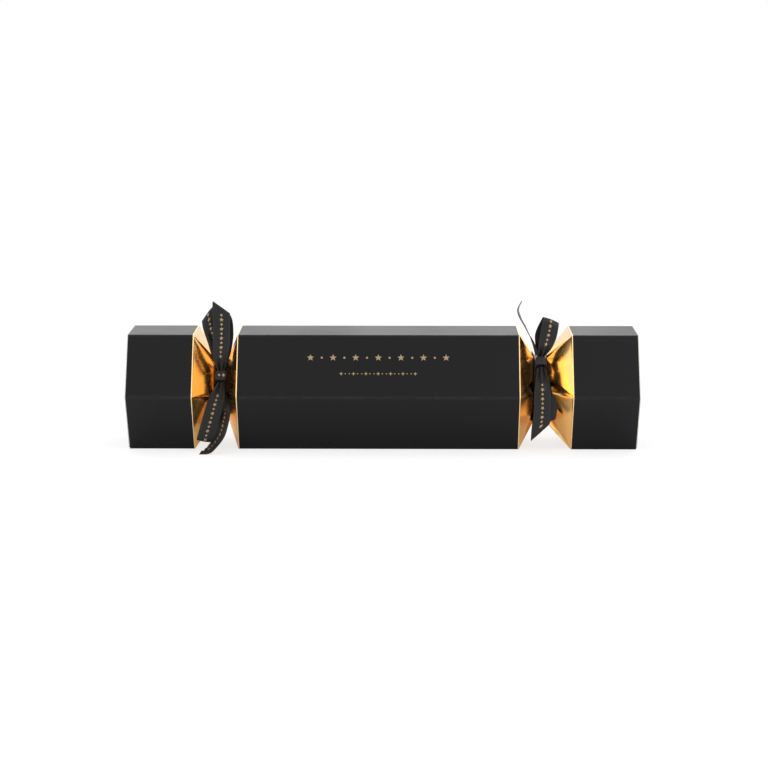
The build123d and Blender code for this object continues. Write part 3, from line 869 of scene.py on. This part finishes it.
def knot_strip(end):
    """The ribbon's turn round the middle of the bow, with its edges folded under."""
    low, high = (np.array(corner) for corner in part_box(end.name + "_ribbon_knot"))
    centre = (low + high) / 2
    outward = np.array([0.0, -math.cos(end.knot_angle), math.sin(end.knot_angle)])
    upward = np.array([0.0, math.sin(end.knot_angle), math.cos(end.knot_angle)])
    turns = np.linspace(0, 2 * math.pi, KNOT_STEPS, endpoint=False)
    wide = KNOT_HALF_WIDTH * np.sign(np.cos(turns)) * np.abs(np.cos(turns))**KNOT_SQUARENESS
    deep = KNOT_HALF_DEPTH * np.sign(np.sin(turns)) * np.abs(np.sin(turns))**KNOT_SQUARENESS
    points = centre + np.outer(wide, [1.0, 0, 0]) + np.outer(deep, outward)
    across = np.tile(upward, (KNOT_STEPS, 1))
    sections = [tucked(KNOT_SHOWN, KNOT_FOLD, KNOT_CREASE)] * KNOT_STEPS
    return Strip(points, across, sections, -1, closed=True)


# Papers in the barrel and the candle's wick

def roll(inner, outer, half_turns):
    """Points (y, height) of a spiral about its middle, from the outer end in to the core."""
    turns = np.linspace(half_turns * math.pi, 0, ROLL_STEPS * half_turns + 1)
    reach = inner + (outer - inner) * turns / turns[0]
    return np.stack([reach * np.cos(turns), reach * np.sin(turns)], axis=1)


def rolled_paper(node, path, thickness, material, point=0.0):
    """Paper rolled along X on the barrel's floor; point is the depth of the points cut in its right edge."""
    low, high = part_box(node)
    middle = (low.y + high.y) / 2
    rest = low.z + thickness / 2 - path[:, 1].min()
    steps = np.linalg.norm(np.diff(path, axis=0), axis=1)
    along = np.concatenate([[0.0], np.cumsum(steps)])
    vertices = []
    for (y, height), distance in zip(path, along):
        notch = point * abs(2 * (distance / CROWN_PITCH % 1) - 1)
        for x in np.linspace(low.x, high.x - notch, PAPER_POINTS):
            vertices.append((x, middle + y, rest + height))
    faces = grid_faces(len(path), PAPER_POINTS)
    made = piece(node + "_sheet", vertices, faces, [material], "barrel")
    thicken(made, thickness)
    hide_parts(node)
    return made


def paper_crown(material):
    """The crown lies folded double and rolled up."""
    inward = roll(CROWN_CORE - CROWN_GAP, CROWN_REACH - CROWN_GAP, CROWN_HALF_TURNS)
    outward = roll(CROWN_CORE + CROWN_GAP, CROWN_REACH + CROWN_GAP, CROWN_HALF_TURNS)[::-1]
    path = np.concatenate([inward, outward])
    return rolled_paper("paper_crown", path, TISSUE, material, CROWN_POINT)


def motto_slip(material):
    path = roll(MOTTO_CORE, MOTTO_REACH, MOTTO_HALF_TURNS)
    return rolled_paper("motto_slip", path, TISSUE, material)


def twisted_wick(material):
    """Twisted cotton strands."""
    low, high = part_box("candle_wick")
    middle = (low + high) / 2
    vertices, faces = [], []
    for strand in range(STRANDS):
        start = len(vertices)
        for x in np.linspace(low.x, high.x, STRAND_ROWS):
            twist = 2 * math.pi * ((x - low.x) / STRAND_PITCH + strand / STRANDS)
            for turn in 2 * math.pi * np.arange(STRAND_SIDES) / STRAND_SIDES:
                y = middle.y + STRAND_OFFSET * math.cos(twist) + STRAND_RADIUS * math.cos(turn)
                z = middle.z + STRAND_OFFSET * math.sin(twist) + STRAND_RADIUS * math.sin(turn)
                vertices.append((x, y, z))
        faces += grid_faces(STRAND_ROWS, STRAND_SIDES, closed_columns=True, start=start)
        faces.append(tuple(reversed(range(start, start + STRAND_SIDES))))
        faces.append(tuple(range(len(vertices) - STRAND_SIDES, len(vertices))))
    made = piece("candle_wick_strands", vertices, faces, [material], "barrel")
    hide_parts("candle_wick")
    return made


# Small generic ornament in gold

def star_outline(radius, points=5, inner=0.42):
    """Points round a star; inner is the reach of its notches as a share of its radius."""
    outline = []
    for i in range(2 * points):
        reach = radius if i % 2 == 0 else radius * inner
        angle = math.pi / 2 + i * math.pi / points
        outline.append((reach * math.cos(angle), reach * math.sin(angle)))
    return outline


def dot_outline(radius):
    return star_outline(radius, points=6, inner=0.87)


def stamp(shapes, surface):
    """Vertices and faces of flat shapes laid on a surface; each shape is a centre and an outline."""
    vertices, faces = [], []
    for (across, along), outline in shapes:
        start = len(vertices)
        vertices.append(surface(across, along))
        for a, b in outline:
            vertices.append(surface(across + a, along + b))
        for i in range(len(outline)):
            faces.append((start, start + 1 + i, start + 1 + (i + 1) % len(outline)))
    return vertices, faces


def ribbon_print(name, strip, gold, end, start=0.0, stop=1.0):
    """Stars and small diamonds down the middle of a ribbon's side that shows, between two shares of it."""
    star = star_outline(RIBBON_STAR)
    diamond = star_outline(RIBBON_DIAMOND, points=4, inner=0.6)
    widths = np.linalg.norm(strip.rows[:, -1] - strip.rows[:, 0], axis=1)
    shapes = []
    for i in range(1, int(strip.length / PRINT_STEP)):
        along = i * PRINT_STEP
        flat = strip.closed or np.interp(along, strip.along, widths) > PRINT_ROOM * RIBBON_WIDTH
        if flat and start * strip.length < along < stop * strip.length:
            shapes.append(((0.0, along), star if i % 2 else diamond))
    lift = RIBBON_THICKNESS / 2 + PRINT_LIFT
    vertices, faces = stamp(shapes, lambda across, along: strip.place(across, along, lift))
    made = piece(name + "_print", vertices, faces, [gold], end.body)
    return thicken(made, PRINT_LIFT)


def stamped_row(drop, half_count, step, star, every, dot):
    """Shapes in a row below a panel's top edge: a star at every so many places, and dots between."""
    return [((i * step, -drop), star if i % every == 0 else dot) for i in range(-half_count, half_count + 1)]


def barrel_print(gold):
    """A row of stars and dots over a finer row, stamped on the barrel's upper front panel."""
    upward = Vector((0, 0.5, COS30))
    outward = Vector((0, -COS30, 0.5))
    middle = Vector((BARREL_MIDDLE, 0, AXIS_Z))
    top = middle + outward * (COS30 * HEX_SIDE) + upward * HEX_SIDE / 2

    def panel(across, along):
        return top + Vector((across, 0, 0)) + upward * along + outward * PRINT_LIFT

    shapes = stamped_row(drop=14.3 * MM, half_count=6, step=6.6 * MM,
                         star=star_outline(2.2 * MM), every=2, dot=dot_outline(0.7 * MM))
    shapes += stamped_row(drop=24.3 * MM, half_count=9, step=2.4 * MM,
                          star=star_outline(1.25 * MM, points=4, inner=0.36), every=3,
                          dot=dot_outline(0.4 * MM))
    vertices, faces = stamp(shapes, panel)
    made = piece("barrel_print", vertices, faces, [gold], "barrel", smooth=False)
    return thicken(made, PRINT_LIFT)


# Stage

def studio_world():
    """White to the camera, and dimmer towards the front for mirrors, as if lit from above and behind."""
    world = bpy.data.worlds.new("studio")
    world.use_nodes = True
    world.cycles.sampling_method = "NONE"
    bpy.context.scene.world = world
    graph = Graph(world.node_tree)
    background = graph.tree.nodes["Background"]
    background.inputs["Color"].default_value = (1, 1, 1, 1)
    _, way, _ = graph.parts(graph.node("ShaderNodeTexCoord").outputs["Generated"])
    in_mirrors = graph.between(way, *SKY_TURN, SKY_FRONT, 1.0)
    lit = graph.blend_values(graph.mirrored(), SKY_LIGHT, in_mirrors)
    graph.feed(background.inputs["Strength"], graph.blend_values(graph.seen(), lit, 1.0))


def floor():
    """White sweep: mostly plain white to the camera, with the object's soft shadow left in it."""
    mesh = bpy.data.meshes.new("floor")
    corners = [(-FLOOR_HALF, -FLOOR_HALF, 0), (FLOOR_HALF, -FLOOR_HALF, 0),
               (FLOOR_HALF, FLOOR_HALF, 0), (-FLOOR_HALF, FLOOR_HALF, 0)]
    mesh.from_pydata(corners, [], [(0, 1, 2, 3)])
    finish = Finish("floor_white")
    finish.set(Base_Color=FLOOR_GREY, Roughness=0.9, Specular_IOR_Level=0.0)
    white = finish.node("ShaderNodeEmission")
    reach = finish.vector_math("LENGTH", finish.object_place())["Value"]
    to_camera = finish.between(reach, *FLOOR_FADE, FLOOR_WHITE, 1.0)
    to_mirrors = finish.math("MULTIPLY", finish.mirrored(), FLOOR_MIRRORED)
    share = finish.blend_values(finish.seen(), to_mirrors, to_camera)
    mix = finish.node("ShaderNodeMixShader", Fac=share)
    finish.link(finish.shader.outputs[0], mix.inputs[1])
    finish.link(white.outputs[0], mix.inputs[2])
    finish.link(mix.outputs[0], finish.tree.nodes["Material Output"].inputs["Surface"])
    mesh.materials.append(finish.material)
    made = bpy.data.objects.new("floor", mesh)
    bpy.context.scene.collection.objects.link(made)


def softbox(name, place, target, size, watts):
    light = bpy.data.lights.new(name, "AREA")
    light.shape = "RECTANGLE"
    light.size, light.size_y = size
    light.energy = watts
    made = bpy.data.objects.new(name, light)
    made.location = place
    made.rotation_euler = (Vector(target) - Vector(place)).to_track_quat("-Z", "Y").to_euler()
    bpy.context.scene.collection.objects.link(made)


def camera():
    data = bpy.data.cameras.new("camera")
    data.lens = CAMERA_LENS
    data.sensor_width = CAMERA_SENSOR
    data.clip_start = CAMERA_NEAR
    data.clip_end = CAMERA_FAR
    made = bpy.data.objects.new("camera", data)
    made.location = CAMERA_PLACE
    made.rotation_euler = (CAMERA_TARGET - CAMERA_PLACE).to_track_quat("-Z", "Y").to_euler()
    bpy.context.scene.collection.objects.link(made)
    bpy.context.scene.camera = made


# The cracker

def dress(material, *nodes):
    """Gives CAD nodes a finish in place of the plain one that they came with."""
    for node in nodes:
        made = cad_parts[node]
        if not made.material_slots:
            made.data.materials.append(material)
        for slot in made.material_slots:
            slot.material = material


def dress_card_and_snap():
    dress(black_card(), "barrel_tube", "left_end_tube", "right_end_tube")
    dress(lid_card(LEFT), "left_end_lid")
    dress(lid_card(RIGHT), "right_end_lid")
    dress(snap_card(), "left_snap_strip", "right_snap_strip")
    dress(plain_paper("sleeve_paper", SLEEVE_TONES), "snap_sleeve")


def dress_candle():
    dress(spun_metal("candle_tin", TIN_TONES, roughness=0.22), "candle_tin", "candle_lid")
    dress(spun_metal("wick_tab", TAB_TONES, roughness=0.30), "candle_wick_tab")
    dress(candle_wax(), "candle_wax")


def neck_and_bow(end, foil, rim, board, satin, gold):
    """The foil and the ribbon of one end."""
    for which in ("inner", "outer"):
        neck_half(end, which, foil, board)
    foil_edge(end.name + "_barrel_foil_edge", "barrel", end.barrel_x, end.side, rim)
    foil_edge(end.name + "_cap_foil_edge", end.body, end.cap_x, -end.side, rim)
    ribbon_piece(end.name + "_ribbon_band", band_strip(end), satin, end)
    ribbon_piece(end.name + "_ribbon_knot", knot_strip(end), satin, end)
    for part in ("upper_loop", "upper_tail", "lower_loop", "lower_tail"):
        name = end.name + "_ribbon_" + part
        strip = route_strip(end, name)
        ribbon_piece(name, strip, satin, end)
        ribbon_print(name, strip, gold, end)


bpy.context.scene.view_settings.view_transform = "Standard"
camera()
studio_world()
floor()
for BOX, SETTING in SOFTBOXES.items():
    softbox(BOX, *SETTING)

FOIL = gold_foil()
RIM = foil_rim()
BOARD = pale_board()
SATIN = satin_ribbon()
GOLD = gold_print()

dress_card_and_snap()
dress_candle()
paper_crown(plain_paper("crown_tissue", TISSUE_TONES, crinkle=2.0))
motto_slip(plain_paper("motto_paper", MOTTO_TONES))
twisted_wick(plain_paper("candle_wick", WICK_TONES, crinkle=0.5))
for END in (LEFT, RIGHT):
    neck_and_bow(END, FOIL, RIM, BOARD, SATIN, GOLD)
ribbon_print("left_ribbon_knot", knot_strip(LEFT), GOLD, LEFT, *KNOT_PRINTED)
barrel_print(GOLD)
